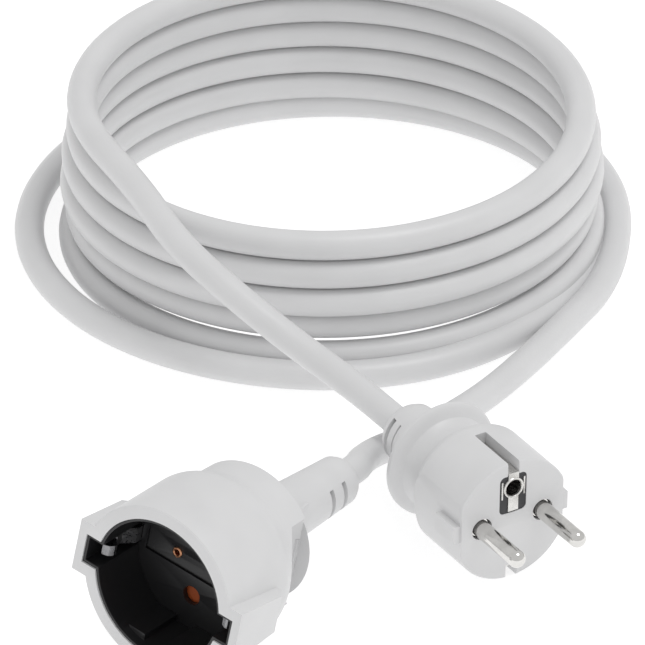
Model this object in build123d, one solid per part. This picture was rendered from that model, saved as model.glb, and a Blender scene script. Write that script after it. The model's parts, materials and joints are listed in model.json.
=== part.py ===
from build123d import *
import math
import os

# Extension cord: a two-pole earthed plug, a coiled cable and an inline coupler with a shutter.
# Frame: +Z up, the floor is z = 0, the coupler opens towards -Y and stands centred over the origin.
# Each connector is built along its own +Z, from its face (z = 0) towards its cable, then placed.

# ---------------------------------------------------------------- driving dimensions (mm, degrees)
CORD_RADIUS = 4.0
CORE_RADIUS = 1.35
CORE_PITCH_RADIUS = 1.75
SHEATH_GAP = 0.15

PIN_RADIUS = 2.4
PIN_LENGTH = 19.0
PIN_SEAT_RADIUS = 2.7
PIN_SEAT_FRONT = 1.2
PIN_RING_GAP = 0.7
PIN_SPACING = 19.0
EARTH_HOLE_OFFSET = 10.0

COUPLER_LENGTH = 80.0
COUPLER_RADIUS = 24.1
COUPLER_FRONT_LENGTH = 23.0
COUPLER_WAIST_LENGTH = 10.5
COUPLER_FRONT_EDGE = 0.4
COUPLER_REAR_EDGE = 1.0
COUPLER_WAIST_RADIUS = 21.0
COUPLER_BARREL_END = 41.4
EAR_REACH = 27.0
EAR_HALF_HEIGHT = 8.0
EAR_END_HALF_HEIGHT = 5.6
EAR_LENGTH = 20.0
EAR_CHAMFER = 2.2
RECESS_RADIUS = 19.5
RECESS_DEPTH = 17.5
FLAT_HEIGHT = 17.5
FLAT_START = 3.6
KEY_WIDTH = 6.0
CLIP_SLOT_REACH = 23.6
CLIP_SLOT_HALF = 3.6
CUP_WALL = 0.8
LINING_FRONT = 0.4
CUP_FLOOR = 1.6
CUP_CLEARANCE = 0.1
CONTACT_HOLE_RADIUS = 2.7
RIVET_OFFSET = 7.3
RIVET_RADIUS = 1.1
FLOOR_CHANNEL_DEPTH = 0.8
GRIP_CUT_DEPTH = 12.0
GRIP_CUT_HALF = 14.0
GRIP_CUT_LIP = 14.5
GUSSET_HALF = 6.0
GUSSET_LENGTH = 15.0
GUSSET_END = 6.0
COUPLER_SLEEVE_RADIUS = 8.6
COUPLER_SLEEVE_END_RADIUS = 6.9
COUPLER_BORE_DEPTH = 7.0

SHUTTER_THICKNESS = 1.8
SHUTTER_RADIUS = 13.4
SHUTTER_GAP = 0.3
SHUTTER_TRAVEL = 40.0
SHUTTER_PIVOT_RADIUS = 1.5
SPRING_RADIUS = 2.9
SPRING_WIRE = 0.25
SPRING_HEIGHT = 2.4
CARRIER_DEPTH = 19.6
CARRIER_FLANGE = 7.0
CARRIER_HALF_WIDTH = 9.4
CARRIER_HALF_HEIGHT = 14.4
CONTACT_OUTER_RADIUS = 3.3
CONTACT_END_ROOM = 1.2
CONTACT_WALL_END = 0.6
CONTACT_LUG_OFFSET = 4.4
CONTACT_LUG_HALF = 1.0
CONTACT_LUG_LENGTH = 2.0
CONTACT_LUG_END = 33.0
CRIMP_RADIUS = 1.75
CRIMP_LENGTH = 4.0
CLIP_FOOT = 19.6
CLIP_WIDTH = 4.8
CLIP_TIP_WIDTH = 3.2
CLIP_THICKNESS = 0.8

PLUG_RADIUS = 17.9
PLUG_FLAT = 15.9
PLUG_BODY_LENGTH = 20.0
PLUG_FRONT_EDGE = 0.4
PLUG_TAPER_LENGTH = 5.0
PLUG_WAIST_RADIUS = 12.6
PLUG_FLANGE_RADIUS = 16.6
PLUG_FLANGE_FRONT = 33.6
PLUG_FLANGE_THICKNESS = 2.7
PLUG_NECK_RADIUS = 9.6
PIN_SHANK_LENGTH = 14.0
PLUG_LENGTH = 52.0
PLUG_NECK_END_RADIUS = 8.5
PLUG_BORE_DEPTH = 9.0
EARTH_GROOVE_WIDTH = 3.5
EARTH_GROOVE_FLOOR = 13.8
EARTH_GROOVE_LENGTH = 16.3
STRAP_WIDTH = 3.2
STRAP_THICKNESS = 0.8
TAB_HALF = 0.2
EARTH_SOCKET_RADIUS = 2.4
EARTH_SOCKET_WALL = 0.7
BRIDGE_HALF_WIDTH = 4.2
BRIDGE_LOW = 2.4
BRIDGE_HIGH = 13.9
BRIDGE_DEPTH = 19.2
BRIDGE_CORNER = 1.5
BRIDGE_SHOULDER_FRONT = 8.0
BRIDGE_SHOULDER_HALF = 12.4
BRIDGE_SHOULDER_HEIGHT = 3.6
RIB_HALF_WIDTH = 2.6
RIB_HEIGHT = 2.0
RIB_LENGTH = 10.0

# ---------------------------------------------------------------- where the connectors lie
COUPLER_YAW = 2.0
COUPLER_TILT = 2.5
COUPLER_ROLL = 10.5
COUPLER_MOUTH = (-2.6, 40.4)
SHOULDER_DIP = 0.02
PLUG_YAW = 18.2
PLUG_TILT = 2.0
PLUG_MOUTH = (-7.5, 73.3)

# ---------------------------------------------------------------- the cord
COIL_CENTRE = (-106.8, 164.2)
COIL_RADIUS = 67.6
COIL_STACK = 5.575
COIL_PITCH = 2 * CORD_RADIUS
COIL_TOP = COIL_STACK * COIL_PITCH
COIL_SPREAD = 1.4
LOOSE_TURN_GAP = 1.6
LOOSE_TURN_RADIUS = COIL_RADIUS + 2 * CORD_RADIUS + LOOSE_TURN_GAP
LOOSE_TURN_SPREAD = 5.5
LOOSE_TURN_END = 338.0
PLUG_LEAD_ANGLE = 244.5
COUPLER_LEAD_ANGLE = 32.5
TANGENT_RUN = 21.0
EXIT_RUN = 7.0

# Free points of each lead, from its connector to the coil: x, y and the share of the climb or fall done.
PLUG_LEAD_ROUTE = [
    (-34.2, 80.6, 0.064),
    (-51.9, 81.2, 0.235),
    (-71.4, 80.4, 0.544),
    (-93.6, 82.6, 0.829),
]
COUPLER_LEAD_ROUTE = [
    (-11.4, 59.1, 0.376),
    (-17.4, 72.8, 0.700),
    (-19.0, 87.6, 0.925),
    (-18.4, 103.4, 1.0),
    (-18.2, 120.0, 1.0),
    (-20.6, 139.4, 1.0),
    (-24.6, 160.6, 1.0),
]


def unit(vector):
    return Vector(*vector).normalized()


def coupler_place():
    """Location of the coupler: rolled about its axis, its cable end a little lower than its face."""
    yaw, tilt, roll = (math.radians(a) for a in (COUPLER_YAW, COUPLER_TILT, COUPLER_ROLL))
    axis = unit((-math.sin(yaw) * math.cos(tilt), math.cos(yaw) * math.cos(tilt), -math.sin(tilt)))
    level = unit((-math.cos(yaw), -math.sin(yaw), 0))
    side = level * math.cos(roll) + axis.cross(level) * math.sin(roll)
    drop = (COUPLER_LENGTH - COUPLER_FRONT_LENGTH) * math.sin(tilt)
    mouth = Vector(*COUPLER_MOUTH, COUPLER_RADIUS * math.cos(tilt) + SHOULDER_DIP - drop)
    return Plane(origin=mouth - axis * COUPLER_LENGTH, x_dir=side, z_dir=axis).location


def plug_place():
    """Location of the plug: it stands on the rim of its face, its cable end a little higher."""
    yaw, tilt = math.radians(PLUG_YAW), math.radians(PLUG_TILT)
    axis = unit((-math.cos(yaw) * math.cos(tilt), math.sin(yaw) * math.cos(tilt), math.sin(tilt)))
    height = PLUG_RADIUS * math.cos(tilt) + PLUG_LENGTH * math.sin(tilt)
    mouth = Vector(*PLUG_MOUTH, height)
    side = Vector(0, 0, 1).cross(axis).normalized()
    return Plane(origin=mouth - axis * PLUG_LENGTH, x_dir=side, z_dir=axis).location


def on_axis(place, distance):
    """Point on a connector's axis, at a distance from its face."""
    return (place * Location((0, 0, distance))).position


def turned(outline):
    """Solid of revolution about Z from (radius, height) corners."""
    face = make_face(Polyline(*[(r, 0, z) for r, z in outline], close=True))
    return revolve(face, Axis.Z)


def bar(x0, x1, y0, y1, z0, z1):
    """Box between two corners."""
    block = Box(x1 - x0, y1 - y0, z1 - z0)
    return Pos((x0 + x1) / 2, (y0 + y1) / 2, (z0 + z1) / 2) * block


def rod(radius, z0, z1, x=0.0, y=0.0):
    """Cylinder along Z."""
    return Pos(x, y, (z0 + z1) / 2) * Cylinder(radius, z1 - z0)


def swept_tube(points, radius):
    """Round bar along straight runs joined by tangent arcs as large as the runs allow."""
    points = [Vector(*p) for p in points]
    radii = corner_radii(points)
    path = FilletPolyline(*points, radius=radii)
    start = Plane(origin=points[0], z_dir=points[1] - points[0])
    return sweep(start * Circle(radius), path=path), radii, path.length


def corner_radii(points):
    """Largest comfortable radius at each corner: 0.45 of the shorter run over tan(half the turn)."""
    radii = []
    for before, corner, after in zip(points, points[1:], points[2:]):
        turn = math.radians((corner - before).get_angle(after - corner))
        shorter = min((corner - before).length, (after - corner).length)
        radii.append(0.45 * shorter / math.tan(turn / 2))
    return radii


# ---------------------------------------------------------------- derived places
SIDES = (-1, 1)
CUP_RADIUS = RECESS_RADIUS + CUP_WALL
CAVITY_RADIUS = CUP_RADIUS + CUP_CLEARANCE
CARRIER_FRONT = RECESS_DEPTH + CUP_FLOOR
CARRIER_STEM = CARRIER_FRONT + CARRIER_FLANGE
CARRIER_BACK = CARRIER_FRONT + CARRIER_DEPTH
SHUTTER_FRONT = CARRIER_FRONT + SHUTTER_GAP
SHUTTER_BACK = SHUTTER_FRONT + SHUTTER_THICKNESS
SPRING_FRONT = SHUTTER_BACK + SHUTTER_GAP
SPRING_BACK = SPRING_FRONT + SPRING_HEIGHT + 4 * SPRING_WIRE
CONTACT_FRONT = SHUTTER_BACK + 2 * SHUTTER_GAP
CONTACT_BACK = RECESS_DEPTH + PIN_LENGTH + CONTACT_END_ROOM
COUPLER_SHEATH_END = COUPLER_LENGTH - COUPLER_BORE_DEPTH
CORE_TUNNEL_RADIUS = CORE_PITCH_RADIUS + CORE_RADIUS + 0.4
COUPLER_CORES_MEET = COUPLER_BARREL_END + 5.0
PLUG_CORES_MEET = PLUG_FLANGE_FRONT + 0.4
CONTACT_SITES = {"live": (0.0, PIN_SPACING / 2), "neutral": (0.0, -PIN_SPACING / 2)}
PIN_SITES = {"live": (PIN_SPACING / 2, 0.0), "neutral": (-PIN_SPACING / 2, 0.0)}
PLUG_SHEATH_END = PLUG_LENGTH - PLUG_BORE_DEPTH
WEB_BACK = BRIDGE_DEPTH + STRAP_THICKNESS


# ---------------------------------------------------------------- coupler
def coupler_outline():
    """Outer skin of the coupler without its ears, grip cuts and slots."""
    front_edge, rear_edge = COUPLER_FRONT_EDGE, COUPLER_REAR_EDGE
    sleeve_front = COUPLER_BARREL_END + 3.0
    waist_end = COUPLER_FRONT_LENGTH + COUPLER_WAIST_LENGTH
    with BuildPart() as skin:
        with BuildSketch(Plane.XZ):
            with BuildLine():
                front = Polyline(
                    (0, 0),
                    (COUPLER_RADIUS - front_edge, 0),
                    (COUPLER_RADIUS, front_edge),
                    (COUPLER_RADIUS, COUPLER_FRONT_LENGTH),
                )
                shoulder = Spline(
                    front @ 1,
                    (COUPLER_WAIST_RADIUS, waist_end),
                    tangents=((0, 1), (0, 1)),
                )
                Polyline(
                    shoulder @ 1,
                    (COUPLER_WAIST_RADIUS - 0.2, COUPLER_BARREL_END - rear_edge),
                    (COUPLER_WAIST_RADIUS - 0.2 - rear_edge, COUPLER_BARREL_END),
                    (COUPLER_SLEEVE_RADIUS + 2.0, COUPLER_BARREL_END + 0.8),
                    (COUPLER_SLEEVE_RADIUS, sleeve_front),
                    (COUPLER_SLEEVE_END_RADIUS, COUPLER_LENGTH - 2.0),
                    (COUPLER_SLEEVE_END_RADIUS - 0.7, COUPLER_LENGTH - 0.6),
                    (COUPLER_SLEEVE_END_RADIUS - 1.8, COUPLER_LENGTH),
                    (0, COUPLER_LENGTH),
                    (0, 0),
                )
            make_face()
        revolve(axis=Axis.Z)
    return skin.part


def coupler_ears():
    """Two side blocks that carry the earth clips, tapering away from the face."""
    end = EAR_LENGTH
    side = make_face(
        Polyline(
            (0, -EAR_HALF_HEIGHT, 0),
            (0, EAR_HALF_HEIGHT, 0),
            (0, EAR_END_HALF_HEIGHT, end),
            (0, -EAR_END_HALF_HEIGHT, end),
            close=True,
        )
    )
    block = extrude(side, amount=EAR_REACH, dir=(1, 0, 0), both=True)
    return chamfer(block.faces().sort_by(Axis.Z)[-1].edges().filter_by(Axis.Y), EAR_CHAMFER)


def grip_cut(sign):
    """V-shaped finger cut across one side of the barrel, open to the rear."""
    corners = [
        (COUPLER_WAIST_RADIUS + 1.5, COUPLER_BARREL_END - 13.0),
        (GRIP_CUT_DEPTH, COUPLER_BARREL_END - 4.0),
        (GRIP_CUT_LIP, COUPLER_BARREL_END + 0.1),
        (COUPLER_RADIUS + 3.0, COUPLER_BARREL_END + 0.1),
        (COUPLER_RADIUS + 3.0, COUPLER_BARREL_END - 13.0),
    ]
    face = make_face(Polyline(*[(sign * x, 0, z) for x, z in corners], close=True))
    return extrude(face, amount=GRIP_CUT_HALF, dir=(0, 1, 0), both=True)


def sleeve_gusset(sign):
    """Web on one side that runs from the lip of the finger cut down to the bend sleeve."""
    lip = (sign * GRIP_CUT_LIP, 0, COUPLER_BARREL_END)
    middle = (sign * (GUSSET_END + 2.6), 0, COUPLER_BARREL_END + 0.45 * GUSSET_LENGTH)
    end = (sign * GUSSET_END, 0, COUPLER_BARREL_END + GUSSET_LENGTH)
    hollow = ThreePointArc(lip, middle, end)
    buried = sign * (GUSSET_END - 1.5)
    root = COUPLER_BARREL_END - 1
    inside = Polyline(end, (buried, 0, end[2]), (buried, 0, root), (lip[0], 0, root), lip)
    return extrude(make_face([hollow, inside]), amount=GUSSET_HALF, dir=(0, 1, 0), both=True)


def sleeve_slots(z_places, width, reach, inner, outer):
    """Short slots round both lower sides of a bend sleeve, at several places along it."""
    ring = Cylinder(outer, width) - Cylinder(inner, width)
    slots = []
    for z in z_places:
        for sign in SIDES:
            block = Pos(sign * outer, 0, 0) * Box(outer * 2 - reach, outer * 1.1, width)
            slots.append(Pos(0, 0, z) * (ring & block))
    return slots


def cross_bar(reach, half, z0, z1):
    """Bar across the axis, through both side slots."""
    return bar(-reach, reach, -half, half, z0, z1)


def core_funnel(half, z0, z1, z2, plane):
    """Flat funnel that brings the cores in to the cable's axis: wide from z0 to z1, narrow at z2."""
    corners = [
        (-half, z0),
        (half, z0),
        (half, z1),
        (CORE_TUNNEL_RADIUS, z2),
        (-CORE_TUNNEL_RADIUS, z2),
        (-half, z1),
    ]
    face = plane * make_face(Polyline(*corners, close=True))
    return extrude(face, amount=CORE_TUNNEL_RADIUS, both=True)


def coupler_cavity():
    """Room inside the housing for the lining, the carrier, the cores and the sheath."""
    room = rod(CAVITY_RADIUS, -1, CARRIER_STEM + CLIP_THICKNESS + CUP_CLEARANCE)
    room += cross_bar(
        CLIP_SLOT_REACH + CUP_WALL + CUP_CLEARANCE,
        CLIP_SLOT_HALF + CUP_WALL + CUP_CLEARANCE,
        -1,
        CARRIER_FRONT + CUP_CLEARANCE,
    )
    wide, high = CARRIER_HALF_WIDTH + CUP_CLEARANCE, CARRIER_HALF_HEIGHT + CUP_CLEARANCE
    room += bar(-wide, wide, -high, high, CARRIER_STEM, CARRIER_BACK)
    room += core_funnel(7.0, CARRIER_BACK - 1, CARRIER_BACK + 1.5, COUPLER_CORES_MEET + 3, Plane.YZ)
    bore = [
        (0, COUPLER_CORES_MEET - 1),
        (CORE_TUNNEL_RADIUS, COUPLER_CORES_MEET - 1),
        (CORE_TUNNEL_RADIUS, COUPLER_SHEATH_END),
        (CORD_RADIUS + SHEATH_GAP, COUPLER_SHEATH_END),
        (CORD_RADIUS + SHEATH_GAP, COUPLER_LENGTH + 1),
        (0, COUPLER_LENGTH + 1),
    ]
    return room + turned(bore)


def coupler_housing():
    shell = coupler_outline() + coupler_ears()
    for sign in SIDES:
        shell -= grip_cut(sign)
        shell += sleeve_gusset(sign)
    shell -= coupler_cavity()
    for slot in sleeve_slots((67.0, 72.6), 1.6, 6.0, 4.9, 9.0):
        shell -= slot
    return shell


def socket_lining():
    """Lining of the recess wall: round, with two flats that have key notches, and slotted sides."""
    lining = rod(CUP_RADIUS, LINING_FRONT, RECESS_DEPTH)
    lining += cross_bar(CLIP_SLOT_REACH + CUP_WALL, CLIP_SLOT_HALF + CUP_WALL, LINING_FRONT, RECESS_DEPTH)
    hollow = rod(RECESS_RADIUS, 0, RECESS_DEPTH)
    hollow += cross_bar(CLIP_SLOT_REACH, CLIP_SLOT_HALF, 0, RECESS_DEPTH)
    flats = rod(RECESS_RADIUS, FLAT_START, RECESS_DEPTH)
    flats -= bar(-RECESS_RADIUS, RECESS_RADIUS, -FLAT_HEIGHT, FLAT_HEIGHT, 0, RECESS_DEPTH)
    flats -= bar(-KEY_WIDTH / 2, KEY_WIDTH / 2, -RECESS_RADIUS, RECESS_RADIUS, 0, RECESS_DEPTH)
    return lining - (hollow - flats)


def socket_floor():
    """Plate at the back of the recess, pierced for the pins, the rivets and the clip arms."""
    floor = rod(CUP_RADIUS, RECESS_DEPTH, CARRIER_FRONT)
    floor += cross_bar(CLIP_SLOT_REACH + CUP_WALL, CLIP_SLOT_HALF + CUP_WALL, RECESS_DEPTH, CARRIER_FRONT)
    channel_reach = CLIP_FOOT - CLIP_THICKNESS - 2.0
    floor -= cross_bar(channel_reach, CLIP_SLOT_HALF, RECESS_DEPTH - 1, RECESS_DEPTH + FLOOR_CHANNEL_DEPTH)
    for x, y in CONTACT_SITES.values():
        floor -= rod(CONTACT_HOLE_RADIUS, RECESS_DEPTH - 1, CARRIER_FRONT + 1, x, y)
    for sign in SIDES:
        floor -= rod(RIVET_RADIUS, RECESS_DEPTH - 1, CARRIER_FRONT + 1, sign * RIVET_OFFSET)
        floor -= clip_window(sign, RECESS_DEPTH - 1, CARRIER_FRONT + 1)
    return floor


def clip_window(sign, z0, z1):
    """Narrow way through a floor or flange for one clip arm."""
    inner, outer = sorted((sign * (CLIP_FOOT - CLIP_THICKNESS - 0.2), sign * (CLIP_FOOT + 0.2)))
    half = CLIP_WIDTH / 2 + 0.2
    return bar(inner, outer, -half, half, z0, z1)


def coupler_contact_carrier():
    """Insulating block behind the recess floor, with the shutter pocket and a tunnel for each contact."""
    carrier = rod(CUP_RADIUS, CARRIER_FRONT, CARRIER_STEM)
    wide, high = CARRIER_HALF_WIDTH, CARRIER_HALF_HEIGHT
    carrier += bar(-wide, wide, -high, high, CARRIER_STEM, CARRIER_BACK)
    carrier -= rod(SHUTTER_RADIUS + 0.5, CARRIER_FRONT, SPRING_FRONT)
    carrier -= rod(SPRING_RADIUS + 0.8, CARRIER_FRONT, SPRING_BACK)
    carrier -= rod(SHUTTER_PIVOT_RADIUS, CARRIER_FRONT, CARRIER_STEM - 0.6)
    for x, y in CONTACT_SITES.values():
        carrier -= rod(CONTACT_OUTER_RADIUS, CARRIER_FRONT, CONTACT_BACK, x, y)
        lug_room = sorted((0, math.copysign(CONTACT_LUG_OFFSET + 2.4, y)))
        carrier -= bar(-2.4, 2.4, *lug_room, CONTACT_LUG_END - CONTACT_LUG_LENGTH, CARRIER_BACK + 1)
    half = CLIP_WIDTH / 2 + 0.2
    carrier -= cross_bar(CUP_RADIUS + 1, half, CARRIER_STEM, CARRIER_STEM + CLIP_THICKNESS)
    carrier -= bar(-half, half, -half, half, CARRIER_STEM, CARRIER_BACK + 1)
    for sign in SIDES:
        carrier -= rod(RIVET_RADIUS, CARRIER_FRONT, CARRIER_STEM, sign * RIVET_OFFSET)
        carrier -= clip_window(sign, CARRIER_FRONT - 1, CARRIER_STEM + 1)
    return carrier


def coupler_contact(name):
    """Slotted spring tube for one pin, with a lug on its inner side for the core."""
    x, y = CONTACT_SITES[name]
    sleeve = rod(CONTACT_OUTER_RADIUS, CONTACT_FRONT, CONTACT_BACK, x, y)
    inner, outer = sorted((math.copysign(CONTACT_LUG_OFFSET - 1.0, y), y))
    half = CONTACT_LUG_HALF
    sleeve += bar(-half, half, inner, outer, CONTACT_LUG_END - CONTACT_LUG_LENGTH, CONTACT_LUG_END)
    sleeve -= rod(PIN_RADIUS + 0.05, CONTACT_FRONT, CONTACT_BACK - CONTACT_WALL_END, x, y)
    slit = bar(-0.4, 0.4, -CONTACT_OUTER_RADIUS, CONTACT_OUTER_RADIUS, CONTACT_FRONT, CONTACT_BACK - 3.0)
    return sleeve - Pos(x, y, 0) * slit


def coupler_earth_bracket():
    """One bent strap: a bridge behind the carrier flange and a sprung clip in each side slot."""
    half = CLIP_WIDTH / 2
    strap = cross_bar(CLIP_FOOT, half, CARRIER_STEM, CARRIER_STEM + CLIP_THICKNESS)
    arm_line = [
        (CLIP_FOOT, CARRIER_STEM + CLIP_THICKNESS),
        (CLIP_FOOT, 15.5),
        (CLIP_FOOT + 2.4, 12.0),
        (CLIP_FOOT + 2.4, 9.6),
        (CLIP_FOOT - 0.3, 6.4),
        (CLIP_FOOT - 0.5, 5.2),
        (CLIP_FOOT + 0.4, 4.0),
        (CLIP_FOOT + 1.6, 3.4),
    ]
    tip_start = 8.0
    tip_side = bar(-CLIP_FOOT - 4, CLIP_FOOT + 4, CLIP_TIP_WIDTH / 2, half + 1, 0, tip_start)
    for sign in SIDES:
        outer = [(sign * x, z) for x, z in arm_line]
        inner = [(sign * (x - CLIP_THICKNESS), z) for x, z in arm_line]
        arm = make_face(Polyline(*[(x, 0, z) for x, z in outer + inner[::-1]], close=True))
        strap += extrude(arm, amount=half, dir=(0, 1, 0), both=True)
    return strap - tip_side - mirror(tip_side, Plane.XZ)


def coupler_rivets():
    """Two hollow rivets that hold the recess floor to the carrier."""
    rivets = []
    for sign in SIDES:
        head = Pos(0, 0, RECESS_DEPTH + FLOOR_CHANNEL_DEPTH - 0.15) * Cylinder(RIVET_RADIUS + 0.5, 0.3)
        shank = rod(RIVET_RADIUS, RECESS_DEPTH + FLOOR_CHANNEL_DEPTH - 0.3, CARRIER_STEM)
        bore = rod(RIVET_RADIUS - 0.35, RECESS_DEPTH - 1, CARRIER_STEM + 1)
        rivets.append(Pos(sign * RIVET_OFFSET, 0, 0) * (head + shank - bore))
    return Part() + rivets


def shutter_rotor():
    """Two wings on a hub. At rest each wing stands between a contact hole and its contact."""
    rotor = rod(4.6, SHUTTER_FRONT, SHUTTER_BACK)
    disc = rod(SHUTTER_RADIUS, SHUTTER_FRONT, SHUTTER_BACK)
    spread = math.tan(math.radians(SHUTTER_TRAVEL / 2)) * SHUTTER_RADIUS
    for sign in SIDES:
        edge = sign * SHUTTER_RADIUS * 1.1
        wing = make_face(Polyline((0, 0), (-spread * 1.1, edge), (spread * 1.1, edge), close=True))
        rotor += disc & (Pos(0, 0, SHUTTER_FRONT) * extrude(wing, amount=SHUTTER_THICKNESS, dir=(0, 0, 1)))
    return rotor - rod(SHUTTER_PIVOT_RADIUS + 0.1, CARRIER_FRONT, SPRING_BACK)


def shutter_pivot():
    """Steel pin that the rotor turns on, pressed into the carrier."""
    return rod(SHUTTER_PIVOT_RADIUS, CARRIER_FRONT, CARRIER_STEM - 0.6)


def shutter_spring():
    """Light torsion spring round the pivot."""
    turns = Helix(pitch=SPRING_HEIGHT / 3, height=SPRING_HEIGHT, radius=SPRING_RADIUS)
    section = Plane(origin=turns @ 0, z_dir=turns % 0) * Circle(SPRING_WIRE)
    return Pos(0, 0, SPRING_FRONT + 2 * SPRING_WIRE) * sweep(section, path=turns, is_frenet=True)


def core_route(terminal, meet, sheath_end, angle):
    """Route of one core: straight off its terminal, in towards the axis, then along it."""
    x, y, z = terminal
    turn = math.radians(angle)
    far_x, far_y = CORE_PITCH_RADIUS * math.cos(turn), CORE_PITCH_RADIUS * math.sin(turn)
    return [(x, y, z), (x, y, z + CRIMP_LENGTH), (far_x, far_y, meet), (far_x, far_y, sheath_end)]


def core_wire(route):
    tube, _, _ = swept_tube(route, CORE_RADIUS)
    return tube


def crimps(terminals):
    """Crimp barrels round the bared ends of the three cores."""
    length = CRIMP_LENGTH - 1.5
    ring = rod(CRIMP_RADIUS, 0.2, length) - rod(CORE_RADIUS, -1, length + 1)
    return Part() + [Pos(*terminal) * ring for terminal in terminals]


def coupler_terminals():
    """Where the cores end in the coupler: on each contact's lug, and on the earth bridge."""
    return {
        "brown": (0.0, CONTACT_LUG_OFFSET, CONTACT_LUG_END),
        "blue": (0.0, -CONTACT_LUG_OFFSET, CONTACT_LUG_END),
        "green_yellow": (0.0, 0.0, CARRIER_STEM + CLIP_THICKNESS),
    }


COUPLER_CORE_ANGLES = {"brown": 110, "blue": 250, "green_yellow": 0}


def coupler_core(colour):
    terminal = coupler_terminals()[colour]
    route = core_route(terminal, COUPLER_CORES_MEET + 1.0, COUPLER_SHEATH_END, COUPLER_CORE_ANGLES[colour])
    if colour == "green_yellow":
        route[1] = (terminal[0], terminal[1], CARRIER_BACK)
    return core_wire(route)


# ---------------------------------------------------------------- plug
def plug_outline():
    """Outer skin of the plug: round body, waist, finger flange and bend sleeve."""
    edge = 0.8
    front_edge = PLUG_FRONT_EDGE
    flange_back = PLUG_FLANGE_FRONT + PLUG_FLANGE_THICKNESS
    with BuildPart() as skin:
        with BuildSketch(Plane.XZ):
            with BuildLine():
                front = Polyline(
                    (0, 0),
                    (PLUG_RADIUS - front_edge, 0),
                    (PLUG_RADIUS, front_edge),
                    (PLUG_RADIUS, PLUG_BODY_LENGTH),
                )
                waist = Spline(
                    front @ 1,
                    (PLUG_WAIST_RADIUS + 1.6, PLUG_BODY_LENGTH + PLUG_TAPER_LENGTH),
                    (PLUG_WAIST_RADIUS, PLUG_FLANGE_FRONT - 3.6),
                    tangents=((-0.3, 1), (0, 1)),
                )
                Polyline(
                    waist @ 1,
                    (PLUG_WAIST_RADIUS + 1.0, PLUG_FLANGE_FRONT - 1.2),
                    (PLUG_FLANGE_RADIUS - edge, PLUG_FLANGE_FRONT),
                    (PLUG_FLANGE_RADIUS, PLUG_FLANGE_FRONT + edge),
                    (PLUG_FLANGE_RADIUS, flange_back - edge),
                    (PLUG_FLANGE_RADIUS - edge, flange_back),
                    (PLUG_NECK_RADIUS + 1.0, flange_back + 0.4),
                    (PLUG_NECK_RADIUS, flange_back + 1.6),
                    (PLUG_NECK_END_RADIUS, PLUG_LENGTH - 2.0),
                    (PLUG_NECK_END_RADIUS - 0.8, PLUG_LENGTH - 0.6),
                    (PLUG_NECK_END_RADIUS - 2.4, PLUG_LENGTH),
                    (0, PLUG_LENGTH),
                    (0, 0),
                )
            make_face()
        revolve(axis=Axis.Z)
    return skin.part


def side_flats(sign):
    """Material outside one flat, along the straight part of the body and its taper."""
    low, high = sorted((sign * PLUG_FLAT, sign * (PLUG_RADIUS + 1)))
    return bar(low, high, -PLUG_RADIUS, PLUG_RADIUS, -1, PLUG_BODY_LENGTH + PLUG_TAPER_LENGTH)


def guide_rib(sign):
    """Low rib on a flat that the coupler's key notch takes."""
    low, high = sorted((sign * (PLUG_FLAT - 0.2), sign * (PLUG_FLAT + RIB_HEIGHT)))
    return bar(low, high, -RIB_HALF_WIDTH, RIB_HALF_WIDTH, 0.8, RIB_LENGTH)


def window_bar(z0, z1):
    """Bar with rounded corners that fills the window in the plug's face."""
    window = bar(-BRIDGE_HALF_WIDTH, BRIDGE_HALF_WIDTH, BRIDGE_LOW, BRIDGE_HIGH, z0, z1)
    return fillet(window.edges().filter_by(Axis.Z), BRIDGE_CORNER)


def bridge_block():
    """Insert block: a tall window part, a low shoulder that holds both pins and a collar round each."""
    block = window_bar(TAB_HALF, BRIDGE_DEPTH)
    half, height = BRIDGE_SHOULDER_HALF, BRIDGE_SHOULDER_HEIGHT
    block += bar(-half, half, -height, height, BRIDGE_SHOULDER_FRONT, PIN_SHANK_LENGTH)
    for x, y in PIN_SITES.values():
        block += rod(PIN_RADIUS + PIN_RING_GAP, PIN_SEAT_FRONT, PIN_SHANK_LENGTH, x, y)
    return block


def plug_body():
    body = plug_outline()
    for sign in SIDES:
        body -= side_flats(sign)
        body += guide_rib(sign)
        low, high = sorted((sign * EARTH_GROOVE_FLOOR, sign * (PLUG_RADIUS + 1)))
        half = EARTH_GROOVE_WIDTH / 2
        body -= bar(-half, half, low, high, -1, EARTH_GROOVE_LENGTH)
    body -= bridge_block()
    body -= window_bar(-1, 1)
    for x, y in PIN_SITES.values():
        body -= rod(PIN_SEAT_RADIUS, 0, PIN_SHANK_LENGTH, x, y)
        body -= rod(PIN_RADIUS + PIN_RING_GAP, -1, PIN_SEAT_FRONT, x, y)
    body -= earth_bracket_path()
    meet = PLUG_CORES_MEET + 2
    body -= core_funnel(BRIDGE_SHOULDER_HALF, PIN_SHANK_LENGTH, PIN_SHANK_LENGTH + 6.0, meet, Plane.XZ)
    body -= core_funnel(8.0, BRIDGE_DEPTH, WEB_BACK + 5.0, meet, Plane.YZ)
    body -= rod(CORE_TUNNEL_RADIUS, PLUG_CORES_MEET - 1, PLUG_LENGTH + 1)
    body -= rod(CORD_RADIUS + SHEATH_GAP, PLUG_SHEATH_END, PLUG_LENGTH + 1)
    for slot in sleeve_slots((PLUG_LENGTH - 3.4,), 1.5, 3.0, 6.2, 12.0):
        body -= slot
    for slot in sleeve_slots((PLUG_LENGTH - 6.8,), 0.6, 3.0, 7.2, 12.0):
        body -= slot
    return body


def plug_pin_bridge():
    """Dark insert that carries the pins, the earth socket and the earth bracket."""
    block = bridge_block()
    for x, y in PIN_SITES.values():
        block -= rod(PIN_SEAT_RADIUS, -1, PIN_SHANK_LENGTH + 1, x, y)
    block -= rod(EARTH_SOCKET_RADIUS + EARTH_SOCKET_WALL, -1, BRIDGE_DEPTH + 1, 0, EARTH_HOLE_OFFSET)
    return block - earth_bracket_path()


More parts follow.
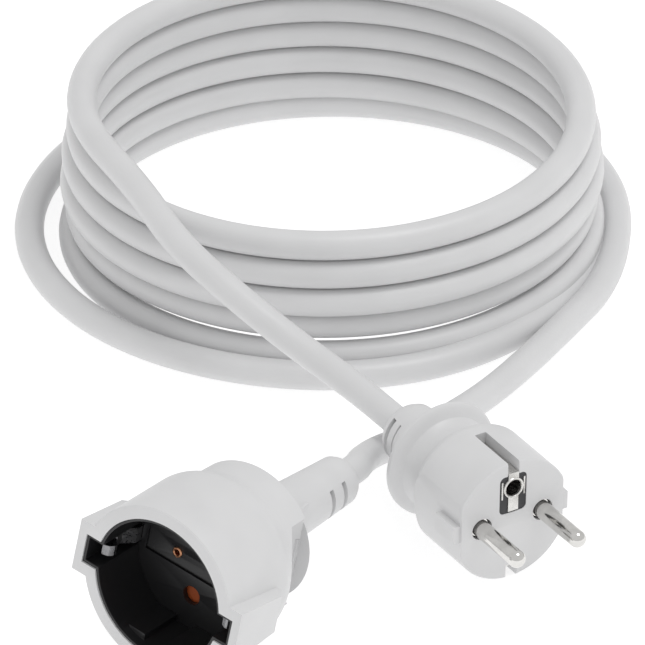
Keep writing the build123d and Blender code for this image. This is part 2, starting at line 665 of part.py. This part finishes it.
def plug_pin(name):
    """Solid pin with a round tip and a shank held in the bridge."""
    x, y = PIN_SITES[name]
    pin = rod(PIN_RADIUS, -PIN_LENGTH + PIN_RADIUS, PIN_SEAT_FRONT)
    pin += rod(PIN_SEAT_RADIUS, PIN_SEAT_FRONT, PIN_SHANK_LENGTH)
    return Pos(x, y, 0) * (pin + Pos(0, 0, -PIN_LENGTH + PIN_RADIUS) * Sphere(PIN_RADIUS))


def earth_bracket_path():
    """Strap in both grooves, a tab down the front of the insert and a web behind it."""
    half = STRAP_WIDTH / 2
    outer = EARTH_GROOVE_FLOOR + STRAP_THICKNESS
    strap = bar(-half, half, EARTH_GROOVE_FLOOR, outer, -TAB_HALF, WEB_BACK)
    strap += bar(-half, half, -outer, -EARTH_GROOVE_FLOOR, 0.6, WEB_BACK)
    strap += bar(-half, half, -outer, outer, BRIDGE_DEPTH, WEB_BACK)
    strap += rod(EARTH_SOCKET_RADIUS + EARTH_SOCKET_WALL, -TAB_HALF, TAB_HALF, 0, EARTH_HOLE_OFFSET)
    return strap + bar(-half, half, BRIDGE_LOW + 0.5, outer, -TAB_HALF, TAB_HALF)


def plug_earth_bracket():
    return earth_bracket_path() - rod(EARTH_SOCKET_RADIUS + 0.3, -1, BRIDGE_DEPTH, 0, EARTH_HOLE_OFFSET)


def plug_earth_socket():
    """Sprung tube that takes the earth pin of another kind of outlet."""
    x, y = 0.0, EARTH_HOLE_OFFSET
    socket = rod(EARTH_SOCKET_RADIUS + EARTH_SOCKET_WALL, TAB_HALF, BRIDGE_DEPTH, x, y)
    return socket - rod(EARTH_SOCKET_RADIUS, -1, BRIDGE_DEPTH - 1.0, x, y)


def plug_terminals():
    return {
        "brown": (*PIN_SITES["live"], PIN_SHANK_LENGTH),
        "blue": (*PIN_SITES["neutral"], PIN_SHANK_LENGTH),
        "green_yellow": (0.0, 5.0, WEB_BACK),
    }


PLUG_CORE_ANGLES = {"brown": 340, "blue": 200, "green_yellow": 90}


def plug_core(colour):
    terminal = plug_terminals()[colour]
    return core_wire(core_route(terminal, PLUG_CORES_MEET + 1.0, PLUG_SHEATH_END, PLUG_CORE_ANGLES[colour]))


# ---------------------------------------------------------------- cord
def coil_point(radius, angle, height):
    turn = math.radians(angle)
    return (COIL_CENTRE[0] + radius * math.cos(turn), COIL_CENTRE[1] + radius * math.sin(turn), height)


def on_tangent(point, angle, run):
    """Point a run away from a point on the coil, on the coil's tangent, on the side of a lead."""
    turn = math.radians(angle)
    return (point[0] + run * math.sin(turn), point[1] - run * math.cos(turn), point[2])


def lead_route(route, start, end):
    """Free points of a lead, at heights shared out between its connector's exit and the coil."""
    return [(x, y, start.Z + share * (end[2] - start.Z)) for x, y, share in route]


def plug_lead_points():
    start = on_axis(plug_place(), PLUG_SHEATH_END)
    bend = on_axis(plug_place(), PLUG_LENGTH + PLUG_BORE_DEPTH)
    last = coil_point(COIL_RADIUS, PLUG_LEAD_ANGLE, COIL_TOP)
    route = lead_route(PLUG_LEAD_ROUTE, bend, last)
    return [start, bend, *route, on_tangent(last, PLUG_LEAD_ANGLE, -TANGENT_RUN), last]


def coupler_lead_points():
    start = on_axis(coupler_place(), COUPLER_SHEATH_END)
    bend = on_axis(coupler_place(), COUPLER_LENGTH + EXIT_RUN)
    last = coil_point(LOOSE_TURN_RADIUS, COUPLER_LEAD_ANGLE, CORD_RADIUS)
    route = lead_route(COUPLER_LEAD_ROUTE, bend, last)
    return [start, bend, *route, on_tangent(last, COUPLER_LEAD_ANGLE, TANGENT_RUN), last]


def coil_sector(inner, outer, bottom, top, start, sweep_angle):
    """Part of the coil's wall, from a start angle, anticlockwise seen from above."""
    outline = Polyline((inner, 0, bottom), (outer, 0, bottom), (outer, 0, top), (inner, 0, top), close=True)
    return Rotation(0, 0, start) * revolve(make_face(outline), Axis.Z, sweep_angle)


def cord_coil():
    """Outer shape of the coil: a wall that steps down along its top turn, and a loose turn below."""
    inner = COIL_RADIUS - CORD_RADIUS - 0.5
    outer = COIL_RADIUS + CORD_RADIUS + COIL_SPREAD
    steps = 12
    step_angle = 360 / steps
    wall_top = COIL_TOP - COIL_PITCH - CORD_RADIUS
    coil = coil_sector(inner, outer, 0, wall_top, 0, 360)
    for step in range(steps):
        top = COIL_TOP + CORD_RADIUS - 1.0 - COIL_PITCH * (step + 1) / steps
        start = PLUG_LEAD_ANGLE - step_angle * (step + 1)
        coil += coil_sector(inner, outer, wall_top - 1, top, start, step_angle)
    loose_outer = LOOSE_TURN_RADIUS + CORD_RADIUS + LOOSE_TURN_SPREAD
    loose_sweep = LOOSE_TURN_END - COUPLER_LEAD_ANGLE
    loose_turn = coil_sector(outer - 1, loose_outer, 0, 2 * CORD_RADIUS, COUPLER_LEAD_ANGLE, loose_sweep)
    return Pos(*COIL_CENTRE, 0) * (coil + loose_turn)


# ---------------------------------------------------------------- write one file per piece
def coupler_pieces():
    pieces = {
        "coupler_housing": coupler_housing(),
        "coupler_socket_lining": socket_lining(),
        "coupler_socket_floor": socket_floor(),
        "coupler_contact_carrier": coupler_contact_carrier(),
        "coupler_live_contact": coupler_contact("live"),
        "coupler_neutral_contact": coupler_contact("neutral"),
        "coupler_earth_bracket": coupler_earth_bracket(),
        "coupler_rivets": coupler_rivets(),
        "coupler_crimps": crimps(coupler_terminals().values()),
        "shutter_rotor": shutter_rotor(),
        "shutter_pivot": shutter_pivot(),
        "shutter_spring": shutter_spring(),
    }
    for colour in COUPLER_CORE_ANGLES:
        pieces["coupler_core_" + colour] = coupler_core(colour)
    return pieces


def plug_pieces():
    pieces = {
        "plug_body": plug_body(),
        "plug_pin_bridge": plug_pin_bridge(),
        "plug_live_pin": plug_pin("live"),
        "plug_neutral_pin": plug_pin("neutral"),
        "plug_earth_bracket": plug_earth_bracket(),
        "plug_earth_socket": plug_earth_socket(),
        "plug_crimps": crimps(plug_terminals().values()),
    }
    for colour in PLUG_CORE_ANGLES:
        pieces["plug_core_" + colour] = plug_core(colour)
    return pieces


def main():
    os.makedirs("parts", exist_ok=True)
    pieces = {name: coupler_place() * shape for name, shape in coupler_pieces().items()}
    pieces.update({name: plug_place() * shape for name, shape in plug_pieces().items()})
    leads = {"cord_plug_lead": plug_lead_points(), "cord_coupler_lead": coupler_lead_points()}
    for name, points in leads.items():
        tube, radii, length = swept_tube(points, CORD_RADIUS)
        section = math.pi * CORD_RADIUS**2
        print(name, "length", round(length, 1), "volume ratio", round(tube.volume / (section * length), 4))
        print("  corner radii", [round(r, 1) for r in radii])
        pieces[name] = tube
    pieces["cord_coil"] = cord_coil()
    for name, shape in pieces.items():
        export_step(shape, f"parts/{name}.step")
        print(name, round(shape.volume, 1))


main()
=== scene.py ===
import json
import math

import bmesh
import bpy
from mathutils import Matrix, Vector


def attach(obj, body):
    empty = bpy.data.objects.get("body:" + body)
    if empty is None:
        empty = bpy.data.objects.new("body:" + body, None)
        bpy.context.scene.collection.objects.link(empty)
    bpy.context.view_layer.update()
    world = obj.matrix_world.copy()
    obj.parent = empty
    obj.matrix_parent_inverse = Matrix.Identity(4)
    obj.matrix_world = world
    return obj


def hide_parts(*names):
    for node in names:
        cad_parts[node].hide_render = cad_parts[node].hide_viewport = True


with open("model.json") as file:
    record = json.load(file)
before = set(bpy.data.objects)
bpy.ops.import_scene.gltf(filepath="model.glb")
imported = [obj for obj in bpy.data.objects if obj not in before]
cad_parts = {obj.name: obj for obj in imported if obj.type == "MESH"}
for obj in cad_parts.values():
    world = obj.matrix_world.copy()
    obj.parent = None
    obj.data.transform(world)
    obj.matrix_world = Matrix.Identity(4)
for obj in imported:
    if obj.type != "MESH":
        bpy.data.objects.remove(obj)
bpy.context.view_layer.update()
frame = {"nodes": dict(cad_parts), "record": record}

MM = 0.001
BODY = "cord_set"
mounts = {m["name"]: m for m in frame["record"]["mounts"]}


# ---------------------------------------------------------------- places of the two connectors
COUPLER_RIM_HEIGHT = 21.8
PIN_MOUNT_DEPTH = 7.7


def mount_point(name):
    return Vector(mounts[name]["pos_m"])


def connector_matrix(origin, x_axis, z_axis):
    """Millimetres along a connector's own axes, from its face towards its cable, to the frame."""
    y_axis = z_axis.cross(x_axis)
    turn = Matrix((x_axis, y_axis, z_axis)).transposed().to_4x4()
    return Matrix.Translation(origin) @ turn @ Matrix.Scale(MM, 4)


def coupler_matrix():
    axis = -Vector(mounts["coupler_rim"]["axis"]).normalized()
    up = (mount_point("live_contact") - mount_point("neutral_contact")).normalized()
    face = mount_point("coupler_rim") - up * COUPLER_RIM_HEIGHT * MM
    return connector_matrix(face, up.cross(axis), axis)


def plug_matrix():
    axis = -Vector(mounts["live_pin"]["axis"]).normalized()
    across = (mount_point("live_pin") - mount_point("neutral_pin")).normalized()
    middle = (mount_point("live_pin") + mount_point("neutral_pin")) / 2
    return connector_matrix(middle + axis * PIN_MOUNT_DEPTH * MM, across, axis)


COUPLER = coupler_matrix()
PLUG = plug_matrix()


# ---------------------------------------------------------------- camera
CAMERA_AIM = Vector((-0.0594, 0.1021, 0.020))
CAMERA_AZIMUTH = math.radians(39.2)
CAMERA_ELEVATION = math.radians(30.4)
CAMERA_DISTANCE = 5.129
CAMERA_LENS = 1069
CAMERA_REACH = 50


def add_camera():
    camera = bpy.data.objects.new("camera", bpy.data.cameras.new("camera"))
    bpy.context.scene.collection.objects.link(camera)
    level = Vector((math.sin(CAMERA_AZIMUTH), -math.cos(CAMERA_AZIMUTH), 0))
    back = level * math.cos(CAMERA_ELEVATION) + Vector((0, 0, math.sin(CAMERA_ELEVATION)))
    camera.location = CAMERA_AIM + back * CAMERA_DISTANCE
    camera.rotation_euler = (math.pi / 2 - CAMERA_ELEVATION, 0, CAMERA_AZIMUTH)
    camera.data.lens = CAMERA_LENS
    camera.data.clip_end = CAMERA_REACH
    bpy.context.scene.camera = camera


# ---------------------------------------------------------------- cord
CORD_RADIUS = 0.004
PLUG_LEAD = [
    (1.04, 70.49, 19.39),
    (-16.04, 76.11, 20.02),
    (-34.2, 80.6, 21.6),
    (-51.9, 81.2, 25.8),
    (-71.4, 80.4, 33.4),
    (-93.6, 82.6, 40.4),
    (-116.95, 94.14, 44.6),
]
COUPLER_LEAD = [
    (-2.36, 33.41, 21.92),
    (-2.84, 47.39, 21.31),
    (-11.4, 59.1, 14.8),
    (-17.4, 72.8, 9.2),
    (-19.0, 87.6, 5.3),
    (-18.4, 103.4, 4.0),
    (-18.2, 120.0, 4.0),
    (-20.6, 139.4, 4.0),
    (-24.6, 160.6, 4.0),
    (-30.41, 187.97, 4.0),
]
COIL_CENTRE = (-106.8, 164.2)
COIL_RADIUS = 67.6
COIL_TOP = 44.6
COIL_PITCH = 8.0
COIL_START = 244.5
COIL_END = 32.5 - 6 * 360
FLOOR_TURN = 4.0
TURN_POINTS = 20
PIECES_PER_POINT = 8
ROUNDNESS = 8

# How far each turn lies outside or inside the coil's middle radius, against turns wound so far.
TURN_OFFSETS = [
    (0.0, 0.0),
    (0.32, 0.9),
    (0.57, 0.0),
    (0.82, 0.5),
    (1.07, 0.4),
    (1.32, 1.2),
    (1.82, 1.8),
    (2.32, 1.6),
    (2.82, 3.0),
    (3.32, 1.2),
    (3.82, 0.6),
    (4.32, 1.0),
    (4.82, 3.9),
    (5.32, 1.2),
    (5.57, 3.0),
    (5.82, 11.4),
    (6.07, 14.6),
    (6.32, 14.4),
    (6.45, 12.8),
    (6.59, 9.6),
]


def eased(table, at):
    """Value between the table's rows, with no slope at each row."""
    for (start, low), (end, high) in zip(table, table[1:]):
        if at <= end:
            share = max(0.0, (at - start) / (end - start))
            return low + (high - low) * share * share * (3 - 2 * share)
    return table[-1][1]


def coil_points():
    """Control points of the turns, from the plug's lead down to the loose turn on the floor."""
    count = round((COIL_START - COIL_END) * TURN_POINTS / 360)
    step = (COIL_START - COIL_END) / count
    widen = 1 / math.cos(math.radians(step / 2))
    points = []
    for i in range(count):
        angle = COIL_START - (i + 0.5) * step
        turns = (COIL_START - angle) / 360
        radius = (COIL_RADIUS + eased(TURN_OFFSETS, turns)) * widen
        height = max(FLOOR_TURN, COIL_TOP - COIL_PITCH * turns)
        x = COIL_CENTRE[0] + radius * math.cos(math.radians(angle))
        y = COIL_CENTRE[1] + radius * math.sin(math.radians(angle))
        points.append((x, y, height))
    return points


def add_cord():
    route = COUPLER_LEAD + coil_points()[::-1] + PLUG_LEAD[::-1]
    curve = bpy.data.curves.new("cord", "CURVE")
    curve.dimensions = "3D"
    spline = curve.splines.new("NURBS")
    spline.points.add(len(route) - 1)
    for point, place in zip(spline.points, route):
        point.co = (*(c * MM for c in place), 1)
    spline.order_u = 3
    spline.use_endpoint_u = True
    spline.resolution_u = PIECES_PER_POINT
    curve.bevel_depth = CORD_RADIUS
    curve.bevel_resolution = ROUNDNESS
    curve.use_fill_caps = True
    cord = bpy.data.objects.new("cord", curve)
    bpy.context.scene.collection.objects.link(cord)
    curve.materials.append(cord_sheath)
    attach(cord, BODY)
    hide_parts("cord_plug_lead", "cord_coil", "cord_coupler_lead")


# ---------------------------------------------------------------- materials
# Noise sizes are in bumps per metre, relief depths in metres.
SLOW_PLASTIC_NOISE = 60
SLOW_METAL_NOISE = 250
METAL_LINE_NOISE = 2500
WAVE_DEPTH = 0.0002
WAVE_STRENGTH = 0.15
GRAIN_STRENGTH = 0.5
LINE_STRENGTH = 0.3


def new_material(name, colour, roughness, metallic=0.0):
    material = bpy.data.materials.new(name)
    material.use_nodes = True
    shader = material.node_tree.nodes["Principled BSDF"]
    shader.inputs["Base Color"].default_value = (*colour, 1)
    shader.inputs["Roughness"].default_value = roughness
    shader.inputs["Metallic"].default_value = metallic
    return material, shader


def object_noise(material, scale, detail=4.0, stretch=(1, 1, 1), turn=(0, 0, 0)):
    """Noise on Object coordinates."""
    nodes, links = material.node_tree.nodes, material.node_tree.links
    place = nodes.new("ShaderNodeTexCoord")
    mapping = nodes.new("ShaderNodeMapping")
    mapping.inputs["Scale"].default_value = stretch
    mapping.inputs["Rotation"].default_value = turn
    noise = nodes.new("ShaderNodeTexNoise")
    noise.inputs["Scale"].default_value = scale
    noise.inputs["Detail"].default_value = detail
    links.new(place.outputs["Object"], mapping.inputs["Vector"])
    links.new(mapping.outputs["Vector"], noise.inputs["Vector"])
    return noise.outputs["Fac"]


def ramp(material, value, low, high, start=0.35, end=0.65):
    """Colour or grey that runs from low to high with a noise value."""
    node = material.node_tree.nodes.new("ShaderNodeValToRGB")
    node.color_ramp.elements[0].position = start
    node.color_ramp.elements[1].position = end
    node.color_ramp.elements[0].color = (*low, 1)
    node.color_ramp.elements[1].color = (*high, 1)
    material.node_tree.links.new(value, node.inputs["Fac"])
    return node.outputs["Color"]


def relief(material, shader, layers):
    """Bumps one on another: each layer is (noise value, height in metres, strength)."""
    nodes, links = material.node_tree.nodes, material.node_tree.links
    below = None
    for value, height, strength in layers:
        bump = nodes.new("ShaderNodeBump")
        bump.inputs["Distance"].default_value = height
        bump.inputs["Strength"].default_value = strength
        links.new(value, bump.inputs["Height"])
        if below:
            links.new(below, bump.inputs["Normal"])
        below = bump.outputs["Normal"]
    links.new(below, shader.inputs["Normal"])


def tinted(colour, factor):
    return tuple(min(1.0, c * factor) for c in colour)


def plastic(name, colour, roughness, grain=3000, depth=0.00002, spread=0.03):
    """Moulded plastic: fine eroded grain, slow waviness and a little unevenness of tone and gloss."""
    material, shader = new_material(name, colour, roughness)
    fine = object_noise(material, grain, 6)
    slow = object_noise(material, SLOW_PLASTIC_NOISE, 2)
    links = material.node_tree.links
    tone = ramp(material, slow, tinted(colour, 1 - spread), tinted(colour, 1 + spread), 0.3, 0.7)
    links.new(tone, shader.inputs["Base Color"])
    low, high = roughness * 0.88, min(1.0, roughness * 1.12)
    links.new(ramp(material, fine, (low,) * 3, (high,) * 3), shader.inputs["Roughness"])
    relief(material, shader, [(slow, WAVE_DEPTH, WAVE_STRENGTH), (fine, depth, GRAIN_STRENGTH)])
    return material


def metal(name, colour, roughness, stretch=(1, 1, 1), turn=(0, 0, 0), spread=0.1, depth=0.000001):
    """Plated or drawn metal: fine lines along the piece and uneven polish."""
    material, shader = new_material(name, colour, roughness, 1.0)
    lines = object_noise(material, METAL_LINE_NOISE, 5, stretch, turn)
    slow = object_noise(material, SLOW_METAL_NOISE, 3)
    links = material.node_tree.links
    tone = ramp(material, slow, tinted(colour, 1 - spread), tinted(colour, 1 + spread / 2))
    links.new(tone, shader.inputs["Base Color"])
    low, high = roughness * 0.7, min(1.0, roughness * 1.5)
    links.new(ramp(material, lines, (low,) * 3, (high,) * 3), shader.inputs["Roughness"])
    relief(material, shader, [(lines, depth, LINE_STRENGTH)])
    return material


WHITE = (0.66, 0.66, 0.665)
PLUG_TURN = (0, math.radians(2.0), math.radians(18.2))
COUPLER_TURN = (math.radians(2.5), 0, math.radians(-2.0))
ALONG_X = (0.06, 1, 1)
ALONG_Y = (1, 0.06, 1)

white_pvc = plastic("white_pvc", WHITE, 0.42)
cord_sheath = plastic("cord_sheath", WHITE, 0.40, grain=1600, depth=0.00006, spread=0.02)
black_insert = plastic("black_insert", (0.012, 0.012, 0.013), 0.34)
carrier_plastic = plastic("carrier_plastic", (0.035, 0.035, 0.038), 0.5)
shutter_plastic = plastic("shutter_plastic", (0.36, 0.075, 0.018), 0.4)
core_brown = plastic("core_brown", (0.12, 0.045, 0.02), 0.35)
core_blue = plastic("core_blue", (0.02, 0.07, 0.35), 0.35)
core_green_yellow = plastic("core_green_yellow", (0.3, 0.45, 0.03), 0.35)
nickel_pins = metal("nickel_pins", (0.72, 0.71, 0.69), 0.10, ALONG_X, PLUG_TURN)
nickel_plate = metal("nickel_plate", (0.72, 0.71, 0.69), 0.22, ALONG_X, PLUG_TURN)
clip_nickel = metal("clip_nickel", (0.30, 0.30, 0.31), 0.34, ALONG_Y, COUPLER_TURN, depth=0.0000002)
contact_brass = metal("contact_brass", (0.75, 0.55, 0.25), 0.28, ALONG_Y, COUPLER_TURN)
rivet_copper = metal("rivet_copper", (0.65, 0.32, 0.18), 0.3)
spring_steel = metal("spring_steel", (0.55, 0.55, 0.56), 0.3, ALONG_Y, COUPLER_TURN)
crimp_tin = metal("crimp_tin", (0.6, 0.6, 0.61), 0.4)

NODE_MATERIALS = {
    "coupler_housing": white_pvc,
    "coupler_socket_lining": black_insert,
    "coupler_socket_floor": black_insert,
    "coupler_contact_carrier": carrier_plastic,
    "coupler_live_contact": contact_brass,
    "coupler_neutral_contact": contact_brass,
    "coupler_earth_bracket": clip_nickel,
    "coupler_rivets": rivet_copper,
    "coupler_crimps": crimp_tin,
    "shutter_rotor": shutter_plastic,
    "shutter_pivot": spring_steel,
    "shutter_spring": spring_steel,
    "coupler_core_brown": core_brown,
    "coupler_core_blue": core_blue,
    "coupler_core_green_yellow": core_green_yellow,
    "plug_body": white_pvc,
    "plug_pin_bridge": carrier_plastic,
    "plug_live_pin": nickel_pins,
    "plug_neutral_pin": nickel_pins,
    "plug_earth_bracket": nickel_plate,
    "plug_earth_socket": nickel_plate,
    "plug_crimps": crimp_tin,
    "plug_core_brown": core_brown,
    "plug_core_blue": core_blue,
    "plug_core_green_yellow": core_green_yellow,
}


def finish_nodes():
    for name, material in NODE_MATERIALS.items():
        node = frame["nodes"][name]
        node.data.materials.clear()
        node.data.materials.append(material)


# ---------------------------------------------------------------- finer pieces
# Edges over SHARP are rounded, and shading breaks at edges over CREASE. Faces within FLAT become one.
SHARP = math.radians(32)
CREASE = math.radians(20)
FLAT = math.radians(0.6)
JOIN = 0.000002
SHELL_EDGE = 0.18
LINING_EDGE = 0.16
FLOOR_EDGE = 0.12
CLIP_EDGE = 0.12
CARRIER_EDGE = 0.15
STRAP_EDGE = 0.08


def finished(name, bm, material, replaced=()):
    """Object from a bmesh already in place: smooth but for its creases, riding on the cord set."""
    mesh = bpy.data.meshes.new(name)
    bm.to_mesh(mesh)
    bm.free()
    mesh.polygons.foreach_set("use_smooth", [True] * len(mesh.polygons))
    mesh.set_sharp_from_angle(angle=CREASE)
    mesh.materials.append(material)
    piece = bpy.data.objects.new(name, mesh)
    bpy.context.scene.collection.objects.link(piece)
    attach(piece, BODY)
    if replaced:
        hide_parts(*replaced)
    return piece


def softened(name, node, material, width):
    """Copy of a CAD piece with every sharp edge rounded, as a mould or a press leaves it."""
    bm = bmesh.new()
    bm.from_mesh(frame["nodes"][node].data)
    bmesh.ops.remove_doubles(bm, verts=bm.verts, dist=JOIN)
    bmesh.ops.dissolve_limit(bm, angle_limit=FLAT, verts=bm.verts, edges=bm.edges)
    sharp = [e for e in bm.edges if len(e.link_faces) == 2 and e.calc_face_angle() > SHARP]
    bmesh.ops.bevel(
        bm,
        geom=sharp,
        offset=width * MM,
        offset_type="OFFSET",
        affect="EDGES",
        segments=2,
        profile=0.5,
        material=-1,
        clamp_overlap=True,
    )
    bmesh.ops.triangulate(bm, faces=[f for f in bm.faces if len(f.verts) > 4])
    for face in bm.faces:
        face.material_index = 0
    return finished(name, bm, material, [node])


RING_STEPS = 40
SEAM_GAP = 0.0005


def spun(outline, place):
    """Closed ring of (radius, height) corners turned about a connector's axis, in millimetres."""
    bm = bmesh.new()
    corners = [bm.verts.new((radius, 0, height)) for radius, height in outline]
    edges = [bm.edges.new(pair) for pair in zip(corners, corners[1:] + corners[:1])]
    bmesh.ops.spin(
        bm,
        geom=corners + edges,
        cent=(0, 0, 0),
        axis=(0, 0, 1),
        angle=math.tau,
        steps=RING_STEPS,
        use_merge=True,
    )
    bmesh.ops.remove_doubles(bm, verts=bm.verts, dist=SEAM_GAP)
    bmesh.ops.recalc_face_normals(bm, faces=bm.faces)
    bm.transform(place)
    return bm


def block(low, high, place, edge):
    """Box between two corners with rounded edges, in millimetres."""
    bm = bmesh.new()
    bmesh.ops.create_cube(bm, size=1)
    size = [b - a for a, b in zip(low, high)]
    middle = [(a + b) / 2 for a, b in zip(low, high)]
    bmesh.ops.scale(bm, vec=size, verts=bm.verts)
    bmesh.ops.translate(bm, vec=middle, verts=bm.verts)
    bmesh.ops.bevel(bm, geom=bm.edges[:], offset=edge, affect="EDGES", segments=2, profile=0.5, material=-1)
    bm.transform(place)
    return bm


def joined(parts):
    """One bmesh that holds several."""
    whole = bmesh.new()
    for part in parts:
        mesh = bpy.data.meshes.new("part")
        part.to_mesh(mesh)
        part.free()
        whole.from_mesh(mesh)
        bpy.data.meshes.remove(mesh)
    return whole


RIVET_REACH = 7.3
RIVET_FRONT = 18.3
RIVET_BACK = 26.1


def add_rivets():
    """Hollow rivets with a rolled head."""
    front, back = RIVET_FRONT, RIVET_BACK
    outline = [
        (0.78, back),
        (0.78, front + 0.1),
        (0.86, front - 0.25),
        (1.06, front - 0.42),
        (1.32, front - 0.40),
        (1.52, front - 0.24),
        (1.56, front - 0.02),
        (1.10, front),
        (1.08, back),
    ]
    sides = [COUPLER @ Matrix.Translation((side * RIVET_REACH, 0, 0)) for side in (-1, 1)]
    rivets = [spun(outline, side) for side in sides]
    return finished("hollow_rivets", joined(rivets), rivet_copper, ["coupler_rivets"])


EARTH_HEIGHT = 10.0
FLANGE_INNER = 3.2
FLANGE_OUTER = 3.7
FLANGE_BELOW = 2.9
FLANGE_ABOVE = 2.5
FLANGE_FRONT = -0.12
FLANGE_BACK = 0.3


def add_earth_collar():
    """Rolled lip round the earth hole with the two edges of the sprung socket beside it."""
    lip = [(2.42, 0.5), (2.42, -0.25), (2.55, -0.42), (2.78, -0.46), (3.0, -0.38), (3.08, -0.2), (3.08, 0.1)]
    ring = spun(lip, PLUG @ Matrix.Translation((0, EARTH_HEIGHT, 0)))
    low, high = EARTH_HEIGHT - FLANGE_BELOW, EARTH_HEIGHT + FLANGE_ABOVE
    flanges = []
    for side in (-1, 1):
        left, right = sorted((side * FLANGE_INNER, side * FLANGE_OUTER))
        flanges.append(block((left, low, FLANGE_FRONT), (right, high, FLANGE_BACK), PLUG, STRAP_EDGE))
    return finished("earth_collar", joined([ring, *flanges]), nickel_plate)


def add_finer_pieces():
    """Softened casings and metalwork. Returns the pieces that belong to the plug."""
    softened("coupler_shell", "coupler_housing", white_pvc, SHELL_EDGE)
    softened("recess_lining", "coupler_socket_lining", black_insert, LINING_EDGE)
    softened("recess_floor", "coupler_socket_floor", black_insert, FLOOR_EDGE)
    softened("earth_clips", "coupler_earth_bracket", clip_nickel, CLIP_EDGE)
    add_rivets()
    shell = softened("plug_shell", "plug_body", white_pvc, SHELL_EDGE)
    carrier = softened("pin_carrier", "plug_pin_bridge", carrier_plastic, CARRIER_EDGE)
    strap = softened("earth_strap", "plug_earth_bracket", nickel_plate, STRAP_EDGE)
    return [shell, carrier, strap, add_earth_collar()]


REPLACED_ON_PLUG = ("plug_body", "plug_pin_bridge", "plug_earth_bracket")


# ---------------------------------------------------------------- floor and light
FLOOR_HALF_SIZE = 6
FLOOR_GREY = 0.45
FLOOR_GLOW = 0.70
STUDIO_STRENGTH = 0.72
KEY_PLACE = (0.5, 0.3, 2.1)
KEY_SIZE = 1.0
KEY_POWER = 13.5


def add_floor():
    mesh = bpy.data.meshes.new("floor")
    bm = bmesh.new()
    bmesh.ops.create_grid(bm, x_segments=1, y_segments=1, size=FLOOR_HALF_SIZE)
    bm.to_mesh(mesh)
    bm.free()
    floor = bpy.data.objects.new("floor", mesh)
    bpy.context.scene.collection.objects.link(floor)
    material, shader = new_material("floor", (FLOOR_GREY,) * 3, 0.9)
    shader.inputs["Emission Color"].default_value = (1, 1, 1, 1)
    shader.inputs["Emission Strength"].default_value = FLOOR_GLOW
    mesh.materials.append(material)


def add_light(name, place, size, power):
    light = bpy.data.lights.new(name, "AREA")
    light.shape = "DISK"
    light.size = size
    light.energy = power
    lamp = bpy.data.objects.new(name, light)
    bpy.context.scene.collection.objects.link(lamp)
    lamp.location = place
    lamp.rotation_euler = (CAMERA_AIM - Vector(place)).to_track_quat("-Z", "Y").to_euler()


def add_lights():
    world = bpy.data.worlds.new("studio")
    bpy.context.scene.world = world
    world.use_nodes = True
    world.node_tree.nodes["Background"].inputs["Color"].default_value = (1, 1, 1, 1)
    world.node_tree.nodes["Background"].inputs["Strength"].default_value = STUDIO_STRENGTH
    add_light("key", KEY_PLACE, KEY_SIZE, KEY_POWER)


bpy.context.scene.view_settings.view_transform = "Standard"
add_camera()
plug_pieces = add_finer_pieces()
plug_pieces += [o for n, o in frame["nodes"].items() if n.startswith("plug_") and n not in REPLACED_ON_PLUG]
add_cord()
finish_nodes()
add_floor()
add_lights()
